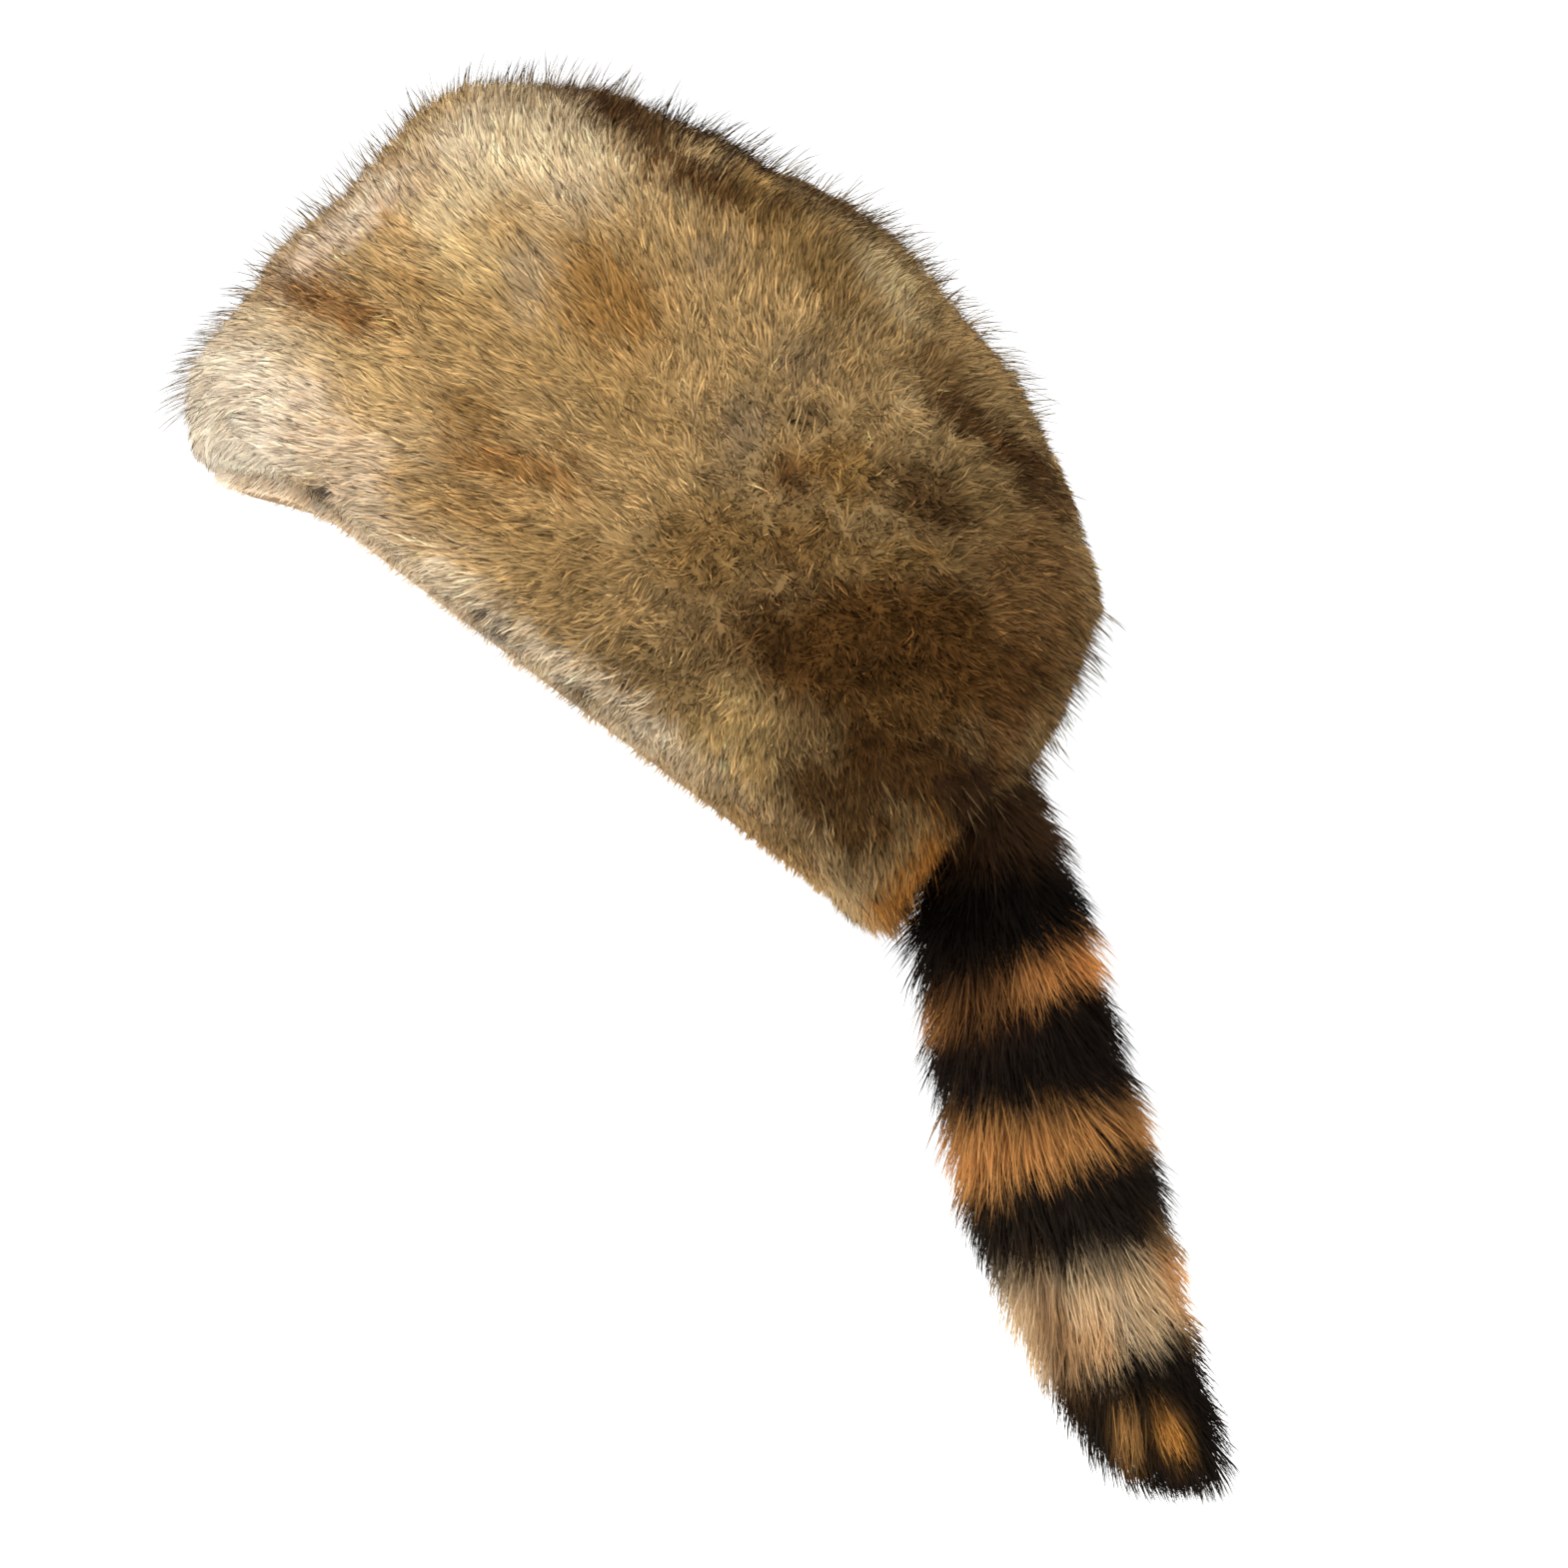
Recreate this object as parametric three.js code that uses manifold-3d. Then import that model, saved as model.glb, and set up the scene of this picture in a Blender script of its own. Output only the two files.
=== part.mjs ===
import * as THREE from 'three';
import { mergeVertices } from 'three/addons/utils/BufferGeometryUtils.js';
import Module from 'manifold-3d';

// Coonskin cap, in millimetres: +Z up, brow towards -Y, the wearer's left towards +X.
// The origin is the middle of the rim's mouth, where a head carries the cap.

const wasm = await Module();
wasm.setup();

// Head hollow and the hide round it
const hollowLength = 205;
const hollowWidth = 175;
const hollowHeight = 133;
const hideWall = 2.5;
const bandHeight = 106;
const apexShift = 5;
const rimTilt = 37;

// Brow, where the edge hangs below the rim between two angles from the front
const browDip = 14.5;
const browStartAngle = 52;
const browLevelAngle = 12;

// Fur
const furDepth = 32;
const lockRelief = 6;
const lockLength = 50;
const lockWidth = 42;
const lockFoot = 3;

// Tail, from its seat on the back of the band to its tip
const tailLength = 245;
const tailWidth = 60;
const tailLean = 16.4;
const tailSeatHeight = 76;
const tailRelief = 5;
const tailLockLength = 36;
const tailLockWidth = 24;
const tailLockFoot = 5;

// Gaps between pieces
const clearance = 0.3;
const seamGap = 0.5;
const tailGap = 0.8;

// Steps round the cap and round the tail
const capSteps = 36;
const tailSteps = 12;

// The plan is a slightly squared oval: 1 would be a plain ellipse
const ovalPower = 0.93;

const halfLength = hollowLength / 2 + hideWall;
const halfWidth = hollowWidth / 2 + hideWall;
const crownRise = hollowHeight + hideWall - bandHeight;
const coatDepth = furDepth - lockRelief;

// Hide sections from rim to apex. Heights are shares of the band's height or of the crown's rise,
// and reach is a share of the plan's half length and half width.
const hideSections = [
  { band: 0, crown: 0, reach: 1, dip: 0.7 },
  { band: 0.58, crown: 0, reach: 1.01, dip: 0 },
  { band: 1, crown: 0, reach: 0.94, dip: 0 },
  { band: 1, crown: 0.55, reach: 0.78, dip: 0 },
  { band: 1, crown: 0.86, reach: 0.52, dip: 0 },
  { band: 1, crown: 0.97, reach: 0.25, dip: 0 },
];
const hideApexRow = { band: 1, crown: 1, reach: 0, dip: 0 };
const seamSection = 2;

// Fur sections from the lip under the rim up to the apex. Each stands on a hide section,
// and its lengths outwards and upwards are shares of the fur's depth, at the front, side and back.
const furSections = [
  { on: 0, dip: 1, frontOut: 0.04, frontUp: 0, sideOut: 0.06, sideUp: 0, backOut: 0.18, backUp: 0 },
  { on: 0, dip: 0.75, frontOut: 0.4, frontUp: 0.05, sideOut: 0.44, sideUp: 0.03, backOut: 0.58, backUp: 0.06 },
  { on: 0, dip: 0.4, frontOut: 0.73, frontUp: 0.2, sideOut: 0.7, sideUp: 0.19, backOut: 0.78, backUp: 0.25 },
  { on: 0, dip: 0.1, frontOut: 1.02, frontUp: 0.76, sideOut: 0.86, sideUp: 0.78, backOut: 0.94, backUp: 0.86 },
  { on: 1, dip: 0, frontOut: 0.83, frontUp: 0.1, sideOut: 0.91, sideUp: 0.1, backOut: 1.12, backUp: 0.12 },
  { on: 1, dip: 0, frontOut: 0.74, frontUp: 0.95, sideOut: 0.87, sideUp: 1.02, backOut: 0.9, backUp: 0.88 },
  { on: 2, dip: 0, frontOut: 0.82, frontUp: 0.35, sideOut: 0.86, sideUp: 0.5, backOut: 0.78, backUp: 0.2 },
  { on: 2, dip: 0, frontOut: 0.54, frontUp: 0.78, sideOut: 0.56, sideUp: 1.28, backOut: 0.4, backUp: 0.54 },
  { on: 3, dip: 0, frontOut: 0.16, frontUp: 0.81, sideOut: 0.38, sideUp: 1.12, backOut: 0.06, backUp: 0.6 },
  { on: 4, dip: 0, frontOut: 0.04, frontUp: 0.76, sideOut: 0.29, sideUp: 1, backOut: 0.17, backUp: 0.69 },
  { on: 5, dip: 0, frontOut: 0, frontUp: 0.86, sideOut: 0.25, sideUp: 0.98, backOut: 0.22, backUp: 0.89 },
];
const furSeam = 7;
const furApexUp = 1.02;

// Rows of locks on the coat: the fur section they root at, how many go round,
// and how steeply they lie towards the apex, where -1 is straight down
const bandLockRows = [
  { root: 3.2, count: 19, climb: -0.45 },
  { root: 4.2, count: 19, climb: -0.1 },
  { root: 5, count: 19, climb: 0.4 },
  { root: 5.5, count: 20, climb: 0.7 },
];
const crownLockRows = [
  { root: 9, count: 15, climb: -1 },
  { root: 10.1, count: 9, climb: -1 },
  { root: 10.8, count: 4, climb: -1 },
];
// Locks stay above this fur section, and end this many sections short of the seam
const lowestLock = 2.2;
const seamMargin = 0.4;

// A lock's rings between its root and its end, as shares of its length, height and width:
// along is where the ring's foot stands, and ridgeAlong where its ridge does
const lockRings = [
  { along: 0.5, ridgeAlong: 0.5, height: 0.6, width: 1 },
  { along: 0.85, ridgeAlong: 1, height: 1, width: 0.5 },
];
const lockEndAlong = 1.1;
const lockEndDepth = 0.5;

// The fur parts on each side at this angle from the front, and lies forwards and backwards from there
const partingAngle = 112;

// Tail sections from seat to tip: along and sway are shares of its length, sway is off the straight line
// from seat to tip, towards the back, and girth is a share of its width.
const tailSections = [
  { along: 0, sway: 0, girth: 0.42 },
  { along: 0.133, sway: -0.014, girth: 0.58 },
  { along: 0.281, sway: -0.046, girth: 0.9 },
  { along: 0.42, sway: -0.06, girth: 0.96 },
  { along: 0.565, sway: -0.067, girth: 1 },
  { along: 0.676, sway: -0.064, girth: 0.97 },
  { along: 0.774, sway: -0.062, girth: 0.88 },
  { along: 0.858, sway: -0.049, girth: 0.76 },
  { along: 0.93, sway: -0.027, girth: 0.56 },
  { along: 0.975, sway: -0.01, girth: 0.44 },
  { along: 1, sway: 0, girth: 0.2 },
];
const tailLockRows = [
  { along: 0.2, count: 7 },
  { along: 0.3, count: 8 },
  { along: 0.4, count: 9 },
  { along: 0.5, count: 9 },
  { along: 0.6, count: 9 },
  { along: 0.69, count: 8 },
  { along: 0.77, count: 7 },
  { along: 0.83, count: 6 },
];

// Plain colours and roughness of the pieces
const finishes = {
  band_hide: { color: 0xcdb591, roughness: 0.85 },
  crown_hide: { color: 0xc8af8a, roughness: 0.85 },
  band_fur: { color: 0xb79a6c, roughness: 0.95 },
  crown_fur: { color: 0x8a6a42, roughness: 0.95 },
  tail: { color: 0x3a2a1d, roughness: 0.95 },
};

const radians = THREE.MathUtils.degToRad;
const lerp = THREE.MathUtils.lerp;
const up = new THREE.Vector3(0, 0, 1);

// A closed geometry through rings of equal length. Ends close on a point each,
// or with no points the last ring joins the first.
function loft(rings, startPoint, endPoint) {
  const around = rings[0].length;
  const points = rings.flat();
  const triangles = [];
  const joins = startPoint ? rings.length - 1 : rings.length;
  for (let ring = 0; ring < joins; ring += 1) {
    const next = (ring + 1) % rings.length;
    for (let step = 0; step < around; step += 1) {
      const a = ring * around + step;
      const b = ring * around + (step + 1) % around;
      const c = next * around + step;
      const d = next * around + (step + 1) % around;
      triangles.push(a, b, d, a, d, c);
    }
  }
  if (startPoint) {
    const start = points.push(startPoint) - 1;
    const end = points.push(endPoint) - 1;
    const last = (rings.length - 1) * around;
    for (let step = 0; step < around; step += 1) {
      const next = (step + 1) % around;
      triangles.push(start, next, step, end, last + step, last + next);
    }
  }
  return facingOut(points, triangles);
}

// An indexed geometry whose triangles face out of the volume that they close
function facingOut(points, triangles) {
  let volume = 0;
  for (let i = 0; i < triangles.length; i += 3) {
    const [a, b, c] = [0, 1, 2].map((k) => points[triangles[i + k]]);
    volume += a.dot(new THREE.Vector3().crossVectors(b, c));
  }
  const geometry = new THREE.BufferGeometry().setFromPoints(points);
  geometry.setIndex(volume > 0 ? triangles : triangles.reverse());
  return geometry;
}

function toSolid(geometry) {
  const bare = mergeVertices(geometry);
  return new wasm.Manifold(new wasm.Mesh({
    numProp: 3,
    vertProperties: bare.attributes.position.array,
    triVerts: new Uint32Array(bare.index.array),
  }));
}

function toGeometry(solid) {
  const { vertProperties, triVerts } = solid.getMesh();
  const geometry = new THREE.BufferGeometry();
  geometry.setAttribute('position', new THREE.BufferAttribute(vertProperties, 3));
  geometry.setIndex(new THREE.BufferAttribute(triVerts, 1));
  return geometry;
}

function fuse(backing, pieces) {
  return pieces.reduce((whole, piece) => whole.add(toSolid(piece)), toSolid(backing));
}

// The angle between a direction round the cap and the front, on either side
const fromFront = (angle) => Math.abs(Math.atan2(Math.sin(angle), Math.cos(angle)));

// How far the brow's dip has come in at an angle round the cap, from 0 to 1
function browShare(angle) {
  const degrees = THREE.MathUtils.radToDeg(fromFront(angle));
  return 1 - THREE.MathUtils.smoothstep(degrees, browLevelAngle, browStartAngle);
}

// A point of the oval plan at an angle from the front, towards +X
function planPoint(angle, reach) {
  const squared = (value) => Math.sign(value) * Math.abs(value) ** ovalPower;
  return new THREE.Vector3(
    halfWidth * reach * squared(Math.sin(angle)),
    -halfLength * reach * squared(Math.cos(angle)),
    0,
  );
}

function planNormal(angle) {
  const at = planPoint(angle, 1);
  return new THREE.Vector3(at.x / halfWidth ** 2, at.y / halfLength ** 2, 0).normalize();
}

const hideApex = new THREE.Vector3(0, apexShift, bandHeight + crownRise);

// The section number at a height on the band
function bandSection(height) {
  const share = height / bandHeight;
  const low = hideSections.findLastIndex((row) => row.band < share);
  return low + (share - hideSections[low].band) / (hideSections[low + 1].band - hideSections[low].band);
}

// A point on the hide's outer face, at a section number that may lie between two rows
function hidePoint(angle, section, dipScale = 1) {
  const low = Math.min(Math.floor(section), hideSections.length - 1);
  const share = section - low;
  const row = hideSections[low];
  const above = hideSections[low + 1] ?? hideApexRow;
  const point = planPoint(angle, lerp(row.reach, above.reach, share));
  const crown = lerp(row.crown, above.crown, share);
  point.y += apexShift * crown;
  point.z = bandHeight * lerp(row.band, above.band, share) + crownRise * crown;
  point.z -= dipScale * browDip * lerp(row.dip, above.dip, share) * browShare(angle);
  return point;
}

// Rings of the hide's outer face moved out by a distance along the face's own normals
function hideRings(distance) {
  const turn = (2 * Math.PI) / capSteps;
  const nudge = 0.02;
  return hideSections.map((row, section) => Array.from({ length: capSteps }, (_, step) => {
    const angle = step * turn;
    const below = hidePoint(angle, Math.max(section - nudge, 0), 0);
    const above = hidePoint(angle, section + nudge, 0);
    const before = hidePoint(angle - nudge, section, 0);
    const after = hidePoint(angle + nudge, section, 0);
    const normal = after.sub(before).cross(above.sub(below)).normalize();
    return hidePoint(angle, section).addScaledVector(normal, distance);
  }));
}

// A point of the fur at an angle and section number, with the fur grown to a given depth
function furPoint(angle, section, depth) {
  const low = Math.min(Math.max(Math.floor(section), 0), furSections.length - 1);
  const [below, above] = [furSections[low], furSections[low + 1]];
  const next = above ? furRowPoint(angle, above, depth) : furApex(depth);
  return furRowPoint(angle, below, depth).lerp(next, section - low);
}

const furApex = (depth) => hideApex.clone().addScaledVector(up, clearance + furApexUp * depth);

// A point of one of the fur's rows, whose lengths turn from the side's to the front's or the back's
function furRowPoint(angle, row, depth) {
  const facing = Math.cos(angle);
  const share = facing ** 2;
  const out = lerp(row.sideOut, facing > 0 ? row.frontOut : row.backOut, share);
  const rise = lerp(row.sideUp, facing > 0 ? row.frontUp : row.backUp, share);
  const point = hidePoint(angle, row.on, 0);
  point.addScaledVector(planNormal(angle), clearance + out * depth);
  point.z += clearance + rise * depth - row.dip * browDip * browShare(angle);
  return point;
}

function furRings(from, to, depth) {
  return furSections.slice(from, to + 1).map((row) => Array.from(
    { length: capSteps },
    (_, step) => furRowPoint((step * 2 * Math.PI) / capSteps, row, depth),
  ));
}

// A ring moved up by a height, and rings of which only the first is
const raised = (ring, height) => ring.map((point) => point.clone().addScaledVector(up, height));
const openedAtSeam = ([first, ...rest]) => [raised(first, seamGap), ...rest];

// A lock is a ridge on the coat that rises and narrows from its buried root to its free tip.
// The place function gives the point at a share of its length and a height over the coat.
function lock(place, width, relief, foot) {
  const lie = place(1, 0).sub(place(0, 0));
  const rings = lockRings.map((row) => {
    const middle = place(row.along, -foot);
    const ridge = place(row.ridgeAlong, row.height * relief);
    const across = ridge.clone().sub(middle).cross(lie).setLength((row.width * width) / 2);
    return [middle.clone().add(across), ridge, middle.clone().sub(across)];
  });
  return loft(rings, place(0, -relief - foot), place(lockEndAlong, -relief - foot * lockEndDepth));
}

// Angles of a row's locks, with every other row half a step round
const lockAngles = (row, index) => Array.from(
  { length: row.count },
  (_, step) => ((step + (index % 2) / 2) * 2 * Math.PI) / row.count,
);

// How much a lock turns round the cap at an angle from the front: back from the parting, or forwards
function turnOf(angle) {
  const parting = radians(partingAngle);
  const forwards = fromFront(angle) < parting;
  const share = forwards ? fromFront(angle) / parting : (Math.PI - fromFront(angle)) / (Math.PI - parting);
  return Math.sin(Math.PI * share) * (forwards ? -1 : 1) * Math.sign(Math.sin(angle));
}

function capLock(angle, row, lowest, highest) {
  const nudge = 0.05;
  const start = furPoint(angle, row.root, furDepth);
  const perTurn = furPoint(angle + nudge, row.root, furDepth).distanceTo(start) / nudge;
  const perSection = furPoint(angle, row.root - nudge, furDepth).distanceTo(start) / nudge;
  const lay = new THREE.Vector2(turnOf(angle), row.climb).setLength(lockLength);
  const place = (share, height) => furPoint(
    angle + (share * lay.x) / perTurn,
    THREE.MathUtils.clamp(row.root + (share * lay.y) / perSection, lowest, highest),
    coatDepth + height,
  );
  return lock(place, lockWidth, lockRelief, lockFoot);
}

function capLocks(rows, lowest, highest, allowed) {
  return rows.flatMap((row, index) => lockAngles(row, index)
    .filter((angle) => allowed(furPoint(angle, row.root, furDepth)))
    .map((angle) => capLock(angle, row, lowest, highest)));
}

// The tail hangs plumb whatever the rim's tilt: a plumb direction is turned back into the cap's own frame
const tiltBack = new THREE.Matrix4().makeRotationX(radians(rimTilt));
const tailAlong = new THREE.Vector3(0, Math.sin(radians(tailLean)), -Math.cos(radians(tailLean)))
  .applyMatrix4(tiltBack);
const tailAside = new THREE.Vector3(0, Math.cos(radians(tailLean)), Math.sin(radians(tailLean)))
  .applyMatrix4(tiltBack);
const tailSeat = hidePoint(Math.PI, bandSection(tailSeatHeight));
tailSeat.y -= hideWall;
const tailPoint = (along, sway) => tailSeat.clone()
  .addScaledVector(tailAlong, along * tailLength)
  .addScaledVector(tailAside, sway * tailLength);

// The points round the tail at a share of its length, moved out by a distance
function tailRound(along, distance) {
  const low = Math.min(tailSections.findLastIndex((row) => row.along <= along), tailSections.length - 2);
  const [behind, ahead] = [tailSections[low], tailSections[low + 1]];
  const share = (along - behind.along) / (ahead.along - behind.along);
  const radius = (lerp(behind.girth, ahead.girth, share) * tailWidth) / 2 + distance;
  const centre = tailPoint(along, lerp(behind.sway, ahead.sway, share));
  const start = tailPoint(behind.along, behind.sway);
  const direction = tailPoint(ahead.along, ahead.sway).sub(start).normalize();
  const sideways = new THREE.Vector3(1, 0, 0);
  const outward = direction.cross(sideways).normalize();
  return (angle) => centre.clone()
    .addScaledVector(outward, Math.cos(angle) * radius)
    .addScaledVector(sideways, Math.sin(angle) * radius);
}

function tailBody(distance) {
  const rings = tailSections.slice(0, -1).map((row) => Array.from(
    { length: tailSteps },
    (_, step) => tailRound(row.along, distance)((step * 2 * Math.PI) / tailSteps),
  ));
  return loft(rings, tailSeat, tailPoint(1, 0));
}

function tailLock(angle, along) {
  const reach = tailLockLength / tailLength;
  const place = (share, height) => tailRound(along + share * reach, height - tailRelief)(angle);
  return lock(place, tailLockWidth, tailRelief, tailLockFoot);
}

// Whether a place on the cap is clear of the tail
function besideTail(place) {
  const distances = tailSections.map((row) => tailPoint(row.along, row.sway).distanceTo(place));
  return Math.min(...distances) > tailWidth / 2;
}

const apexAt = (height) => hideApex.clone().addScaledVector(up, height);
const innerRings = hideRings(-hideWall);
const outerRings = hideRings(0);
const furFootRings = hideRings(clearance);
const toSeam = (rings) => rings.slice(0, seamSection + 1);
const fromSeam = (rings) => rings.slice(seamSection);

const bandHide = loft([...toSeam(innerRings), ...toSeam(outerRings).reverse()]);
const crownHide = loft(
  [...openedAtSeam(fromSeam(innerRings)).reverse(), ...openedAtSeam(fromSeam(outerRings))],
  apexAt(-hideWall),
  apexAt(0),
);

const bandCoat = loft([...toSeam(furFootRings), ...furRings(0, furSeam, coatDepth).reverse()]);
const crownCoatRings = furRings(furSeam, furSections.length - 1, coatDepth);
const crownCoat = loft(
  [...openedAtSeam(fromSeam(furFootRings)).reverse(), ...openedAtSeam(crownCoatRings)],
  apexAt(clearance),
  furApex(coatDepth),
);

// All the room over the middle of the seam's gap, which parts the locks of the band from the crown's
function crownRoom() {
  const reach = 2 * furDepth;
  const edge = furRings(furSeam, furSeam, reach)[0];
  const rings = [furFootRings[seamSection], edge, raised(edge, reach)];
  const base = new THREE.Vector3(0, 0, bandHeight);
  return toSolid(loft(rings.map((ring) => raised(ring, seamGap / 2)), base, apexAt(2 * reach)));
}

const bandLocks = capLocks(bandLockRows, lowestLock, furSeam - seamMargin, besideTail);
const bandFur = fuse(bandCoat, bandLocks)
  .subtract(crownRoom())
  .subtract(toSolid(tailBody(tailGap)));

const crownLocks = capLocks(crownLockRows, furSeam + seamMargin, furSections.length, () => true);
const crownFur = fuse(crownCoat, crownLocks).intersect(crownRoom());

const tailLocks = tailLockRows.flatMap((row, index) => lockAngles(row, index)
  .map((angle) => tailLock(angle, row.along)));
const headSpace = loft(furFootRings, new THREE.Vector3(), apexAt(clearance));
const tail = fuse(tailBody(-tailRelief), tailLocks).subtract(toSolid(headSpace));

const cap = new THREE.Group();
cap.rotation.x = -radians(rimTilt);
const addPiece = (name, geometry) => {
  geometry.computeVertexNormals();
  const mesh = new THREE.Mesh(geometry, new THREE.MeshStandardMaterial(finishes[name]));
  mesh.name = name;
  cap.add(mesh);
};
addPiece('band_hide', bandHide);
addPiece('crown_hide', crownHide);
addPiece('band_fur', toGeometry(bandFur));
addPiece('crown_fur', toGeometry(crownFur));
addPiece('tail', toGeometry(tail));

export default cap;
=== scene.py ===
import math

import bpy
import numpy as np
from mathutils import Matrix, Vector
from mathutils.bvhtree import BVHTree
from mathutils.kdtree import KDTree


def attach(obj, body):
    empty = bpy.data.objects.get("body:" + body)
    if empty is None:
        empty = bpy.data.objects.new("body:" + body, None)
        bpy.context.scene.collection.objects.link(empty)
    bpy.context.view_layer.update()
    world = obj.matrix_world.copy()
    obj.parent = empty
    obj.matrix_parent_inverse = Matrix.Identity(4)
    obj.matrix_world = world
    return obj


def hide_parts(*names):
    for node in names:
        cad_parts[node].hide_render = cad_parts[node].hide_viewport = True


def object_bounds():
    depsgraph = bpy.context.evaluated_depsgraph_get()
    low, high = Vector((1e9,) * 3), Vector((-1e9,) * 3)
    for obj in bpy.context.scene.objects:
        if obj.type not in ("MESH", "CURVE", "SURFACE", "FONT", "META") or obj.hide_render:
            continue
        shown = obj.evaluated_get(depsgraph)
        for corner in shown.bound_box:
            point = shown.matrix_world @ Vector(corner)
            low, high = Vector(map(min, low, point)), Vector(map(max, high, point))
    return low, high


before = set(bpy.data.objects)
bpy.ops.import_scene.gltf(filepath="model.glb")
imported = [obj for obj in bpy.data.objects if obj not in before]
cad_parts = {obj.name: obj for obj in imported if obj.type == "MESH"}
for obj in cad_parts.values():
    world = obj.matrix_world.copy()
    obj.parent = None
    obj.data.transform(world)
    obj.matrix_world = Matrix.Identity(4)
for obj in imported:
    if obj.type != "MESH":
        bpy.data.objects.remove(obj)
cad_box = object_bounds()
random = np.random.default_rng(11)

# Tables give places in the side view, in millimetres: back is towards the tail, up is up.
MM = 0.001

# How the cap's fur lies: which way it leans, how far it stands off the pelt, and how unruly it is
LAY = [
    # back, up, lean_back, lean_up, stand_deg, unruly_deg
    (-96, 70, -1, -0.25, 35, 10),
    (-88, 96, -1, 0.15, 35, 10),
    (-67, 122, -0.75, 0.65, 38, 9),
    (-38, 148, -0.6, 0.8, 42, 9),
    (-9, 162, -0.2, 1, 50, 10),
    (26, 162, 0.05, 1, 55, 10),
    (66, 145, 0.35, 0.95, 50, 12),
    (101, 119, 0.5, 0.85, 50, 12),
    (136, 84, 0.8, 0.6, 45, 12),
    (156, 44, 1, 0.1, 45, 12),
    (159, 9, 1, -0.35, 45, 12),
    (144, -23, 0.8, -0.7, 40, 12),
    (118, -55, 0.35, -0.95, 30, 12),
    (-61, 72, -0.9, 0.42, 36, 7),
    (-32, 107, -0.87, 0.5, 36, 8),
    (-3, 72, -0.88, 0.48, 38, 10),
    (8, 122, -0.7, 0.72, 40, 10),
    (34, 99, -0.5, 0.85, 40, 12),
    (31, 49, -0.8, 0.5, 42, 22),
    (66, 107, -0.1, 1, 42, 20),
    (66, 70, -0.4, 0.6, 56, 34),
    (101, 55, 0.2, 0.4, 60, 50),
    (107, 20, 0.2, -0.2, 60, 42),
    (130, 32, 0.7, 0.1, 54, 28),
    (72, 14, -0.4, -0.2, 60, 46),
    (49, -9, -0.7, -0.5, 50, 42),
    (8, 14, -0.9, -0.2, 40, 22),
    (-27, 41, -0.95, 0.25, 36, 14),
    (84, -26, -0.4, -0.8, 54, 38),
    (101, -49, -0.1, -1, 48, 20),
    (-53, 44, -0.95, -0.1, 34, 14),
    (60, -24, -0.45, -0.9, 40, 14),
    (110, -12, 0.2, -0.5, 60, 38),
    (84, 92, 0, 0.9, 46, 30),
]

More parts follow.
